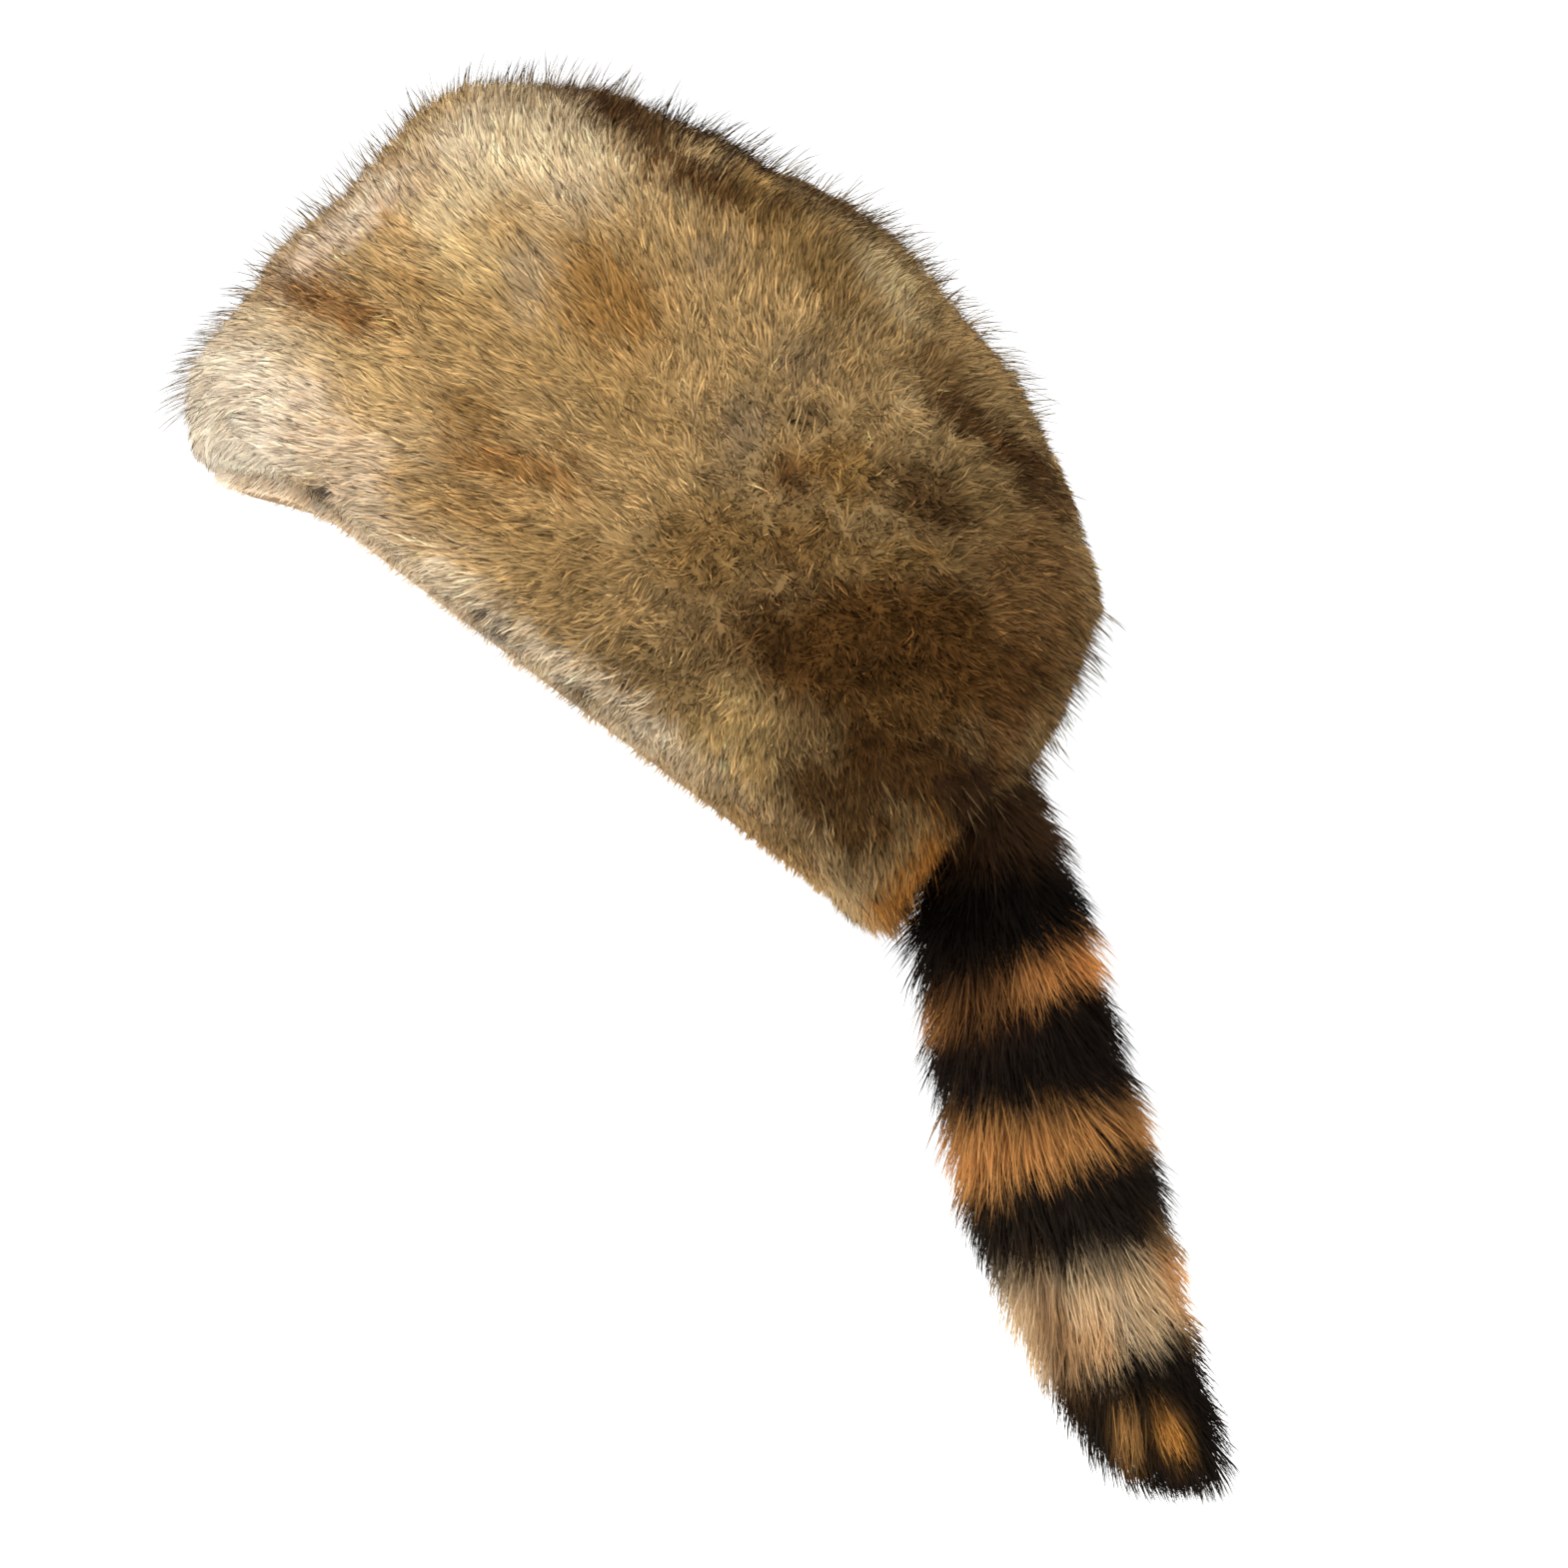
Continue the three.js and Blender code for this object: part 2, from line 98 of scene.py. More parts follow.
# Patches of colour on the cap, each laid over the ones before it, with the share of guard hairs
# that show dark flecks
GROUND = ((180, 145, 95), 0.45)
PATCHES = [
    # back, up, half_length, half_width, turn_deg, colour, flecks, strength
    # front and forehead: the fur's own pale colour, made creamier and paler on the front top by a painted
    # highlight of the fur's sheen
    (-84, 76, 26, 26, 0, (238, 216, 188), 0.2, 0.95),
    (-84, 58, 22, 9, -6, (236, 218, 192), 0.1, 0.8),
    (-52, 60, 14, 12, -30, (214, 186, 152), 0.2, 0.8),
    (-48, 47, 12, 8, -37, (200, 176, 146), 0.3, 0.8),
    (-52, 128, 24, 8, 40, (236, 208, 178), 0.35, 0.85),
    (-66, 117, 14, 6, 40, (226, 194, 164), 0.4, 0.7),
    (-37, 150, 9, 5, 40, (206, 166, 118), 0.4, 0.6),
    (-12, 152, 22, 14, 20, (230, 204, 168), 0.3, 0.85),
    (6, 146, 22, 16, -20, (234, 206, 162), 0.2, 0.88),
    (-22, 130, 18, 10, 40, (222, 194, 148), 0.2, 0.8),
    (-16, 114, 18, 9, -20, (206, 174, 120), 0.25, 0.7),
    (-70, 92, 20, 8, -25, (218, 190, 148), 0.35, 0.6),
    (-44, 84, 26, 9, -25, (194, 160, 108), 0.35, 0.7),
    (-34, 66, 14, 8, -10, (194, 162, 116), 0.3, 0.7),
    (-58, 104, 23, 6.5, -27, (138, 95, 52), 0.8, 0.85),
    (-32, 108, 10, 5, -35, (160, 118, 66), 0.6, 0.6),
    (-36, 124, 10, 4, -40, (176, 132, 78), 0.5, 0.6),
    # side
    (-4, 92, 30, 14, -27, (166, 132, 82), 0.4, 0.6),
    (-16, 72, 14, 7, -20, (146, 108, 60), 0.5, 0.75),
    (-2, 56, 24, 7, -12, (136, 94, 48), 0.6, 0.8),
    (-14, 44, 14, 5, -20, (146, 108, 62), 0.4, 0.6),
    (-26, 36, 20, 6, -35, (188, 158, 118), 0.2, 0.6),
    (24, 104, 19, 16, -35, (146, 104, 52), 0.45, 0.85),
    (15, 131, 8, 5, 0, (146, 122, 92), 0.3, 0.75),
    (0, 109, 6, 13, -20, (170, 146, 114), 0.3, 0.7),
    (34, 134, 12, 8, -20, (188, 158, 112), 0.3, 0.6),
    (30, 72, 20, 12, -30, (160, 126, 76), 0.35, 0.6),
    (10, 30, 22, 12, -30, (158, 124, 76), 0.3, 0.6),
    # top edge
    (22, 164, 18, 7, -22, (74, 46, 24), 0.8, 0.95),
    (57, 153, 27, 9, -33, (34, 22, 14), 1, 0.97),
    (90, 134, 22, 4, -38, (80, 54, 29), 0.8, 0.85),
    (46, 145, 22, 8, -30, (92, 58, 27), 0.6, 0.95),
    (62, 137, 20, 8, -26, (88, 57, 27), 0.6, 0.92),
    (50, 147, 11, 4.2, -17, (222, 180, 122), 0.05, 0.97),
    (66, 137, 8, 4.5, -10, (196, 154, 94), 0.1, 0.92),
    # behind the ear
    (66, 128, 12, 6, -20, (136, 100, 52), 0.4, 0.6),
    (82, 118, 18, 10, -20, (160, 124, 72), 0.4, 0.7),
    (53, 115, 8, 6, 0, (158, 132, 98), 0.3, 0.6),
    (90, 108, 14, 7, -20, (150, 114, 65), 0.45, 0.7),
    (105, 108, 17, 5, -50, (232, 198, 142), 0.1, 0.97),
    (131, 88, 14, 4.5, -48, (200, 160, 104), 0.25, 0.85),
    (104, 78, 20, 3.5, -47, (212, 176, 122), 0.15, 0.8),
    (117, 86, 12, 4, -42, (134, 98, 54), 0.5, 0.7),
    (133, 66, 25, 5, -38, (86, 55, 27), 0.6, 0.9),
    (150, 50, 14, 7, -62, (78, 52, 28), 0.8, 0.85),
    (94, 86, 14, 6, -35, (164, 130, 82), 0.3, 0.7),
    (78, 86, 7, 7, 0, (136, 112, 82), 0.6, 0.65),
    (80, 71, 8, 4, -10, (96, 72, 44), 0.9, 0.75),
    (61, 66, 9, 9, 0, (146, 122, 92), 0.5, 0.7),
    (57, 52, 9, 9, 0, (146, 118, 82), 0.95, 0.7),
    (90, 54, 14, 8, -15, (152, 110, 54), 0.7, 0.75),
    (75, 51, 6, 9, -20, (104, 66, 30), 0.7, 0.8),
    (117, 45, 17, 9, -32, (104, 76, 44), 1, 0.95),
    (134, 44, 12, 8, -50, (150, 118, 72), 0.5, 0.75),
    (50, 34, 18, 15, 0, (140, 105, 58), 0.95, 0.8),
    (78, 33, 16, 8, 0, (132, 94, 46), 0.9, 0.75),
    (106, 29, 16, 5, 0, (156, 116, 60), 0.7, 0.75),
    # lower back
    (108, 2, 62, 26, -4, (98, 65, 30), 0.8, 0.98),
    (146, 22, 22, 17, -80, (136, 99, 57), 0.6, 0.85),
    (70, 6, 5, 6, 0, (58, 39, 20), 0.6, 0.7),
    (98, -2, 18, 7, 0, (72, 47, 22), 0.7, 0.6),
    (108, -13, 18, 5, 0, (128, 92, 48), 0.5, 0.8),
    (108, -30, 28, 14, -22, (82, 53, 24), 0.6, 0.95),
    (138, -22, 9, 20, -10, (108, 74, 40), 0.6, 0.9),
    (88, -42, 22, 11, -30, (94, 64, 32), 0.9, 0.9),
    (80, -58, 28, 6, -37, (196, 164, 118), 0.3, 0.88),
    (58, -22, 13, 15, -20, (206, 167, 106), 0.5, 0.92),
    (34, -6, 16, 8, -37, (146, 114, 70), 0.9, 0.7),
    (-2, 6, 76, 6, -35.5, (230, 206, 172), 0.35, 0.8),
    (70, -51, 22, 6, -35.5, (160, 122, 74), 0.6, 0.8),
    (112, -64, 23, 8, 57, (182, 116, 50), 0.25, 0.95),
    # dark patch beside the tail's seat: painted shade from the tail
    (127, -38, 8, 14, -20, (46, 30, 18), 0.5, 0.9),
    # dark tufts at the edge
    (-60, 45, 4, 3.5, -37, (76, 68, 62), 0.3, 0.9),
    (-12, 13, 4, 2.5, -20, (62, 54, 48), 0.3, 0.85),
    (-6, 8, 4, 2.4, -20, (62, 54, 48), 0.3, 0.85),
    (14, -9, 4, 2.4, -37, (68, 58, 50), 0.3, 0.8),
]
# Along the middle of the cap the fur is darker, as along a raccoon's back
MIDDLE_HALF_WIDTH = 13
MIDDLE_TONE = (120, 88, 54)
MIDDLE_SHARE = 0.18

# The tail's axis in the side view, and its rings down to where each ends
TAIL_SEAT = (121, -6)
TAIL_LEAN_DEG = 16.4
RINGS = [
    # ends_along, rise_across, blend, colour
    (56, 0.1, 12, (58, 40, 25)),
    (86, -0.12, 9, (18, 14, 11)),
    (96, -0.05, 5, (204, 132, 72)),
    (130, 0.17, 13, (26, 20, 16)),
    (145.5, -0.02, 5, (176, 120, 67)),
    (175, 0.06, 13, (30, 24, 19)),
    (200, -0.12, 8, (206, 172, 130)),
    (400, 0, 1, (26, 21, 17)),
]
TIP_PATCHES = [
    # along, across, half_length, half_width, colour, strength
    (226, 1, 7, 5, (196, 130, 62), 0.95),
    (224, -12, 8, 4.5, (176, 124, 70), 0.85),
    (92, -20, 10, 17, (60, 38, 20), 0.85),
    (190, -24, 18, 7, (120, 82, 46), 0.7),
    (186, 17, 14, 6, (186, 128, 72), 0.75),
    (196, -14, 6, 8, (178, 124, 72), 0.5),
    (190, -2, 6, 3, (196, 176, 150), 0.4),
]

# Kinds of hair. Past is how far the tips stand out of the solid's surface, and how rare the far ones
# are. Tones and dark are by step along the strand: shares of the patch's own colour, and of the dark of
# a guard hair's tip; the low tones at the root, here and in the fringe's and tail's hairs, are painted
# shade deep in the fur. Tipped is the share of strands with that dark where a patch has no and all flecks.
HAIRS = {
    "under": {
        "count": 150_000, "steps": (0, 0.55, 1), "width": 0.5, "past": (-3, 0.5, 1), "longest": 9,
        "tones": (0.7, 0.96, 1.1), "dark": (0, 0, 0), "tipped": (0, 0),
        "pull": 0.16, "least_depth": 0, "grizzled": 0.42,
    },
    "guard": {
        "count": 46_000, "steps": (0, 0.5, 0.66, 1), "width": 0.52, "past": (-0.5, 3, 1), "longest": 10.5,
        "tones": (0.82, 1, 1.03, 1.03), "dark": (0, 0, 0.9, 1), "tipped": (0, 1),
        "pull": 0.3, "least_depth": 0, "grizzled": 1.4,
    },
    "awn": {
        "count": 24_000, "steps": (0, 0.45, 0.72, 1), "width": 0.34, "past": (2, 13, 2), "longest": 22,
        "tones": (0.8, 0.95, 0.9, 0.9), "dark": (0, 0.4, 1, 1), "tipped": (1, 1),
        "pull": 0.05, "least_depth": 0.95, "grizzled": 1,
    },
}
FRINGE_HAIRS = {
    "count": 9_000, "steps": (0, 0.6, 1), "width": 0.46, "past": (-3, 2.5, 1), "longest": 24,
    "tones": (0.85, 1, 1.05), "dark": (0, 0, 0), "tipped": (0, 0), "pull": 0.12,
}
TAIL_HAIRS = {
    "under": {
        "count": 28_000, "steps": (0, 0.55, 1), "width": 0.5, "past": (-2, 4), "longest": 20,
        "tones": (0.7, 1, 1.05), "dark": (0, 0, 0), "tipped": (0, 0), "pull": 0.16,
    },
    "guard": {
        "count": 17_000, "steps": (0, 0.45, 0.75, 1), "width": 0.42, "past": (1, 9), "longest": 26,
        "tones": (0.7, 1, 1.15, 1.3), "dark": (0, 0, 0.2, 0.6), "tipped": (0.2, 0.2), "pull": 0.24,
    },
}

# A fur piece for each quarter of the band and one for the crown. The quarters part at this place.
PARTS = ["band_right_back", "band_right_front", "band_left_back", "band_left_front", "crown"]
QUARTERS_PART = 40 * MM

# The dark of a guard hair's tip
TIP_COLOUR = (40, 26, 16)
# How deep the hairs are rooted below the surface of the fur, on the cap and on the tail
INSET = 4.5 * MM
TAIL_INSET = 7 * MM
# The way the fur turns over the hide's edge, down and to the front, and how far from the edge it does
OVER_RIM = np.array([0, -0.6, -0.8])
RIM_REACH = 14 * MM
# How much further the fur hangs beside the tail's root, and the way it hangs there
CORNER_FULLER = 14 * MM
CORNER_DOWN = np.array([0, -0.1, -0.99])
# The fringe along the edge is paler and greyer than the fur above it
FRINGE_TONE = (206, 192, 172)
# The way the fur falls where it would otherwise stand straight off the pelt
FALLEN = np.array([0, 0.7, -0.7])
# Fur at least this deep has its hairs at their full length, and thinner fur has at least this share of it
FULL_DEPTH = 22 * MM
LEAST_FULLNESS = 0.06
# The solids are followed only where they stand this far off the hide
LEAST_COAT = 1.6 * MM
LEAST_TAIL = 4 * MM
# Points scattered over the hide, of which the fringe takes those by its edge
HIDE_POINTS = 160_000

# Where the cap's fur stands further out, or less far
CAP_FULLER = [
    # back, up, radius, extra
    (-98, 98, 16, 3.5),
    (-76, 120, 12, 2),
    (14, 170, 22, 3),
    (79, 143, 12, -4),
    (102, 130, 10, 2),
    (130, 101, 16, -3.5),
    (154, 57, 14, -2),
    (164, 30, 13, 4),
    (158, -5, 12, 2),
]
# Where the tail's hair is fuller: in front of its root, and beside its tip
TAIL_FULLER = [
    # along, across, half_along, half_across, extra
    (46, -24, 14, 8, 4),
    (120, 26, 30, 10, 3),
    (120, -26, 40, 10, 3),
    (215, -20, 20, 9, 4),
    (240, 0, 9, 12, -4),
]

# Deep fur shades itself and lights itself again, so the hair's own colour is paler than what shows
FUR_SHADE = 0.35

# The floor lies this far below the tail's tip, and the camera looks level from the cap's left side
FLOOR_DROP = 20 * MM
VIEW_CENTRE = Vector((0, 0.0732, -0.0332))
VIEW_DISTANCE = 2.5
VIEW_HEIGHT = 0.455
LIGHTS = [
    # name, place, size, power
    ("key", (1.3, -0.9, 1.2), 0.9, 38),
    ("front", (0.8, -1.7, 0.5), 1.2, 16),
    ("fill", (1.6, 0.9, 0.2), 1.2, 9),
    ("back", (-1.2, 0.3, 1.3), 1.0, 14),
]


def linear(colours):
    """sRGB values from 0 to 255 as linear ones from 0 to 1."""
    c = np.asarray(colours, float) / 255
    return np.where(c <= 0.04045, c / 12.92, ((c + 0.055) / 1.055) ** 2.4)


def dyed(colours):
    """The hair's own linear colour where the fur shows this sRGB one."""
    shown = linear(colours)
    return shown / (1 - FUR_SHADE + FUR_SHADE * shown)


def unit(vectors):
    length = np.linalg.norm(vectors, axis=-1, keepdims=True)
    return vectors / np.maximum(length, 1e-9)


def ripple(places, size, seed, waves=24):
    """Smooth noise from -1 to 1 with features of about one size."""
    own = np.random.default_rng(seed)
    turns = unit(own.normal(size=(waves, 3))) * own.uniform(0.6, 1.6, (waves, 1)) * math.tau / size
    phases = own.uniform(0, math.tau, waves)
    return np.clip(np.sin(places @ turns.T + phases).sum(1) / math.sqrt(waves) * 1.2, -1, 1)


def new_object(name, mesh):
    obj = bpy.data.objects.new(name, mesh)
    bpy.context.scene.collection.objects.link(obj)
    return obj


def arrays(obj):
    """A mesh object's vertices, normals and triangles, modifiers included."""
    mesh = obj.evaluated_get(bpy.context.evaluated_depsgraph_get()).to_mesh()
    mesh.calc_loop_triangles()
    places = np.zeros(len(mesh.vertices) * 3, np.float32)
    mesh.vertices.foreach_get("co", places)
    normals = np.zeros(len(mesh.vertices) * 3, np.float32)
    mesh.vertex_normals.foreach_get("vector", normals)
    triangles = np.zeros(len(mesh.loop_triangles) * 3, np.int32)
    mesh.loop_triangles.foreach_get("vertices", triangles)
    return places.reshape(-1, 3).astype(float), normals.reshape(-1, 3).astype(float), triangles.reshape(-1, 3)


def tree_of(nodes):
    places, faces, first = [], [], 0
    for name in nodes:
        spots, _, triangles = arrays(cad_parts[name])
        places.append(spots)
        faces.append(triangles + first)
        first += len(spots)
    return BVHTree.FromPolygons(np.concatenate(places).tolist(), np.concatenate(faces).tolist())


def tree_of_points(points):
    tree = KDTree(len(points))
    for k, point in enumerate(points):
        tree.insert(point, k)
    tree.balance()
    return tree


def distances(tree, places):
    return np.array([tree.find_nearest(Vector(p))[3] for p in places])


def largest_part(triangles, count):
    """The triangles of the largest connected part."""
    label = np.arange(count)
    while True:
        lowest = label[triangles].min(1)
        new = label.copy()
        for k in range(3):
            np.minimum.at(new, triangles[:, k], lowest)
        new = new[new]
        if (new == label).all():
            break
        label = new
    part = label[triangles[:, 0]]
    return triangles[part == np.bincount(part).argmax()]


def relaxed(values, edges, times):
    """Values at vertices, each drawn towards the mean of its neighbours."""
    count = np.bincount(edges.ravel(), minlength=len(values)).reshape((-1,) + (1,) * (values.ndim - 1))
    for _ in range(times):
        total = np.zeros_like(values)
        np.add.at(total, edges[:, 0], values[edges[:, 1]])
        np.add.at(total, edges[:, 1], values[edges[:, 0]])
        values = (values + total / np.maximum(count, 1)) / 2
    return values


def vertex_normals(places, triangles, edges):
    """Normals by area, evened out so that a small fold has the normal of what lies around it."""
    a, b, c = (places[triangles[:, k]] for k in range(3))
    facing = np.cross(b - a, c - a)
    total = np.zeros_like(places)
    for k in range(3):
        np.add.at(total, triangles[:, k], facing)
    return unit(relaxed(total, edges, 10))


def pelt(nodes, voxel, smoothing):
    """The outer form of CAD nodes without its small facets: vertices, normals and triangles."""
    places, faces, first = [], [], 0
    for name in nodes:
        spots, _, triangles = arrays(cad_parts[name])
        places.append(spots)
        faces.append(triangles + first)
        first += len(spots)
    mesh = bpy.data.meshes.new("pelt")
    mesh.from_pydata(np.concatenate(places).tolist(), [], np.concatenate(faces).tolist())
    obj = new_object("pelt", mesh)
    remesh = obj.modifiers.new("remesh", "REMESH")
    remesh.mode = "VOXEL"
    remesh.voxel_size = voxel
    places, _, triangles = arrays(obj)
    bpy.data.objects.remove(obj)
    triangles = largest_part(triangles, len(places))
    used, index = np.unique(triangles, return_inverse=True)
    places, triangles = places[used], index.reshape(-1, 3)
    edges = np.unique(np.sort(triangles[:, [0, 1, 1, 2, 2, 0]].reshape(-1, 2), axis=1), axis=0)
    smooth = relaxed(places, edges, smoothing)
    normals = vertex_normals(smooth, triangles, edges)
    tree = tree_of(nodes)
    gap = np.array([
        (tree.find_nearest(Vector(p))[0] - Vector(p)).dot(Vector(n)) for p, n in zip(smooth, normals)
    ])
    smooth = smooth + normals * relaxed(np.clip(gap, -5 * MM, 5 * MM), edges, 12)[:, None]
    bump = ((smooth - relaxed(smooth, edges, 60)) * normals).sum(1)
    spike = np.maximum(bump - relaxed(bump, edges, 60) - 1 * MM, 0)
    smooth = smooth - normals * spike[:, None]
    return smooth, vertex_normals(smooth, triangles, edges), triangles


def scatter(places, normals, triangles, count):
    """Points spread evenly over triangles, with their normals and each one's triangle."""
    a, b, c = (places[triangles[:, k]] for k in range(3))
    area = np.linalg.norm(np.cross(b - a, c - a), axis=1).cumsum()
    targets = (np.arange(count) + random.random(count)) / count * area[-1]
    which = np.minimum(np.searchsorted(area, targets), len(area) - 1)
    u, v = random.random((2, count, 1))
    flip = u + v > 1
    u, v = np.where(flip, 1 - u, u), np.where(flip, 1 - v, v)
    corners = [triangles[which, k] for k in range(3)]
    spots = places[corners[0]] * (1 - u - v) + places[corners[1]] * u + places[corners[2]] * v
    facing = normals[corners[0]] * (1 - u - v) + normals[corners[1]] * u + normals[corners[2]] * v
    return spots, unit(facing), which


def lay_at(places):
    """Lean vector, stand angle and unruliness at places, blended from the table."""
    table = np.array(LAY, float)
    gap = places[:, None, 1:] - table[None, :, :2] * MM
    weight = 1 / ((gap**2).sum(2) + (6 * MM) ** 2) ** 1.6
    weight /= weight.sum(1, keepdims=True)
    blended = weight @ table[:, 2:]
    loose = np.clip(1.1 - np.linalg.norm(blended[:, :2], axis=1), 0, 1)
    wander = np.column_stack([ripple(places, 9 * MM, 61), ripple(places, 9 * MM, 62)]) * loose[:, None]
    lean = np.column_stack([np.zeros(len(places)), blended[:, :2] + 1.3 * wander])
    return lean, np.radians(blended[:, 2]), np.radians(blended[:, 3])


def cap_colour(places):
    """Linear colour of the cap's fur at places, and its share of flecks."""
    colour = np.tile(dyed(GROUND[0]), (len(places), 1))
    flecks = np.full(len(places), GROUND[1])
    drift = np.column_stack([
        ripple(places, 26 * MM, s) * 2 + ripple(places, 8 * MM, 10 + s) * 2 for s in (1, 2, 3)
    ])
    warped = places + (drift + random.normal(0, 1.4, places.shape)) * MM
    for back, up, half_length, half_width, turn, tone, flecked, strength in PATCHES:
        offset = warped[:, 1:] / MM - (back, up)
        c, s = math.cos(math.radians(turn)), math.sin(math.radians(turn))
        along = (offset[:, 0] * c + offset[:, 1] * s) / half_length
        across = (offset[:, 1] * c - offset[:, 0] * s) / half_width
        share = strength * np.exp(-np.maximum(along**2 + across**2 - 0.45, 0) * 1.8)
        colour += (dyed(tone) - colour) * share[:, None]
        flecks += (flecked - flecks) * share
    middle = np.exp(-((places[:, 0] / MM / MIDDLE_HALF_WIDTH) ** 2))
    colour += (dyed(MIDDLE_TONE) - colour) * (MIDDLE_SHARE * middle)[:, None]
    return colour, flecks + (1 - flecks) * middle * 0.4


def streaks(places):
    """Noise from -1 to 1, drawn out along the lay of the fur on the side."""
    lie = math.radians(28)
    along = places[:, 1] * math.cos(lie) - places[:, 2] * math.sin(lie)
    across = places[:, 1] * math.sin(lie) + places[:, 2] * math.cos(lie)
    return ripple(np.column_stack([places[:, 0], along * 0.3, across]), 9 * MM, 33)


def tail_frame(places):
    """Distance along the tail's axis from its seat, and across it towards the back, in millimetres."""
    lean = math.radians(TAIL_LEAN_DEG)
    back, down = places[:, 1] / MM - TAIL_SEAT[0], TAIL_SEAT[1] - places[:, 2] / MM
    return back * math.sin(lean) + down * math.cos(lean), back * math.cos(lean) - down * math.sin(lean)


def tail_colour(places):
    along, across = tail_frame(places)
    along = along + ripple(places, 14 * MM, 5) * 1.8 + ripple(places, 5 * MM, 6) * 1.4
    colour = np.tile(dyed(RINGS[0][3]), (len(places), 1))
    for (ends, rise, blend, _), (_, _, _, tone) in zip(RINGS, RINGS[1:]):
        share = np.clip((along - ends - rise * across) / blend + 0.5, 0, 1)
        colour += (dyed(tone) - colour) * share[:, None]
    for spot_along, spot_across, half_length, half_width, tone, strength in TIP_PATCHES:
        far = ((along - spot_along) / half_length) ** 2 + ((across - spot_across) / half_width) ** 2
        share = strength * np.exp(-np.maximum(far - 0.3, 0) * 1.5)
        colour += (dyed(tone) - colour) * share[:, None]
    return colour


def strands(roots, normals, leans, stand, length, form):
    """Curved ribbons, steep at the root and leaning at the tip: points, widths' directions and widths."""
    steep = np.minimum(stand + math.radians(14), math.radians(88))[:, None]
    flat = np.maximum(stand - math.radians(10), math.radians(4))[:, None]
    first = leans * np.cos(steep) + normals * np.sin(steep)
    last = leans * np.cos(flat) + normals * np.sin(flat)
    path = np.stack([first * (t - t * t / 2) + last * (t * t / 2) for t in form["steps"]], 1)
    points = roots[:, None] + path * length[:, None, None]
    along = unit(last + first)
    side = unit(np.cross(along, normals) + random.normal(0, 0.02, along.shape))
    roll = random.uniform(-1.1, 1.1, (len(roots), 1))
    side = side * np.cos(roll) + np.cross(along, side) * np.sin(roll)
    widths = form["width"] * MM * random.uniform(0.75, 1.25, len(roots))
    return points, side, widths


def gather(points, roots, per_tuft, pull, seed):
    """Strands drawn together towards the middle strand of their tuft, most at their tips."""
    own = np.random.default_rng(seed)
    heads = own.choice(len(roots), max(len(roots) // per_tuft, 1), replace=False)
    tree = tree_of_points(roots[heads])
    nearest = np.array([tree.find(p)[1] for p in roots])
    share = np.linspace(0, 1, points.shape[1]) ** 1.3
    pull = np.broadcast_to(pull, len(roots))[:, None, None] * share[None, :, None]
    target = points[heads][nearest]
    return points + (target - points) * pull, nearest


def paint_vertices(mesh, colours):
    rgba = np.ones((len(colours), 4), np.float32)
    rgba[:, :3] = colours
    mesh.attributes.new("fur_colour", "FLOAT_COLOR", "POINT").data.foreach_set("color", rgba.ravel())


def ribbon_mesh(name, points, side, widths, shading, colours, material):
    """One mesh of tapered ribbons, with colour by vertex and a map cell for each ribbon."""
    count, rows = points.shape[:2]
    taper = np.linspace(1, 0.65, rows - 1)
    half = (side * widths[:, None] / 2)[:, None] * taper[None, :, None]
    left, right = points[:, :-1] - half, points[:, :-1] + half
    pairs = np.stack([left, right], 2).reshape(count, -1, 3)
    vertices = np.concatenate([pairs, points[:, -1:]], 1)
    per = vertices.shape[1]
    faces = []
    for row in range(rows - 2):
        a, b, c, d = (2 * row + k for k in range(4))
        faces += [(a, b, d), (a, d, c)]
    faces.append((per - 3, per - 2, per - 1))
    pattern = np.array(faces)
    triangles = (pattern[None] + (np.arange(count) * per)[:, None, None]).reshape(-1, 3)

    mesh = bpy.data.meshes.new(name)
    mesh.vertices.add(count * per)
    mesh.vertices.foreach_set("co", vertices.astype(np.float32).ravel())
    mesh.loops.add(triangles.size)
    mesh.loops.foreach_set("vertex_index", triangles.astype(np.int32).ravel())
    mesh.polygons.add(len(triangles))
    mesh.polygons.foreach_set("loop_start", np.arange(0, triangles.size, 3, dtype=np.int32))
    mesh.update(calc_edges=True)

    steps = np.append(np.repeat(np.arange(rows - 1), 2), rows - 1)
    paint_vertices(mesh, colours[:, steps].reshape(-1, 3))

    grid = math.ceil(math.sqrt(count))
    cell = np.stack([np.arange(count) % grid, np.arange(count) // grid], 1) / grid
    sides = np.append(np.tile([0.2, 0.8], rows - 1), 0.5)
    local = np.stack([sides, 0.2 + 0.6 * steps / (rows - 1)], 1) / grid
    uv = (cell[:, None] + local[None]).reshape(-1, 2)
    mesh.uv_layers.new(name="OFBake").data.foreach_set("uv", uv[triangles.ravel()].astype(np.float32).ravel())

    mesh.polygons.foreach_set("use_smooth", np.ones(len(triangles), bool))
    mesh.normals_split_custom_set_from_vertices(np.repeat(shading, per, axis=0).tolist())
    mesh.materials.append(material)
    return new_object(name, mesh)


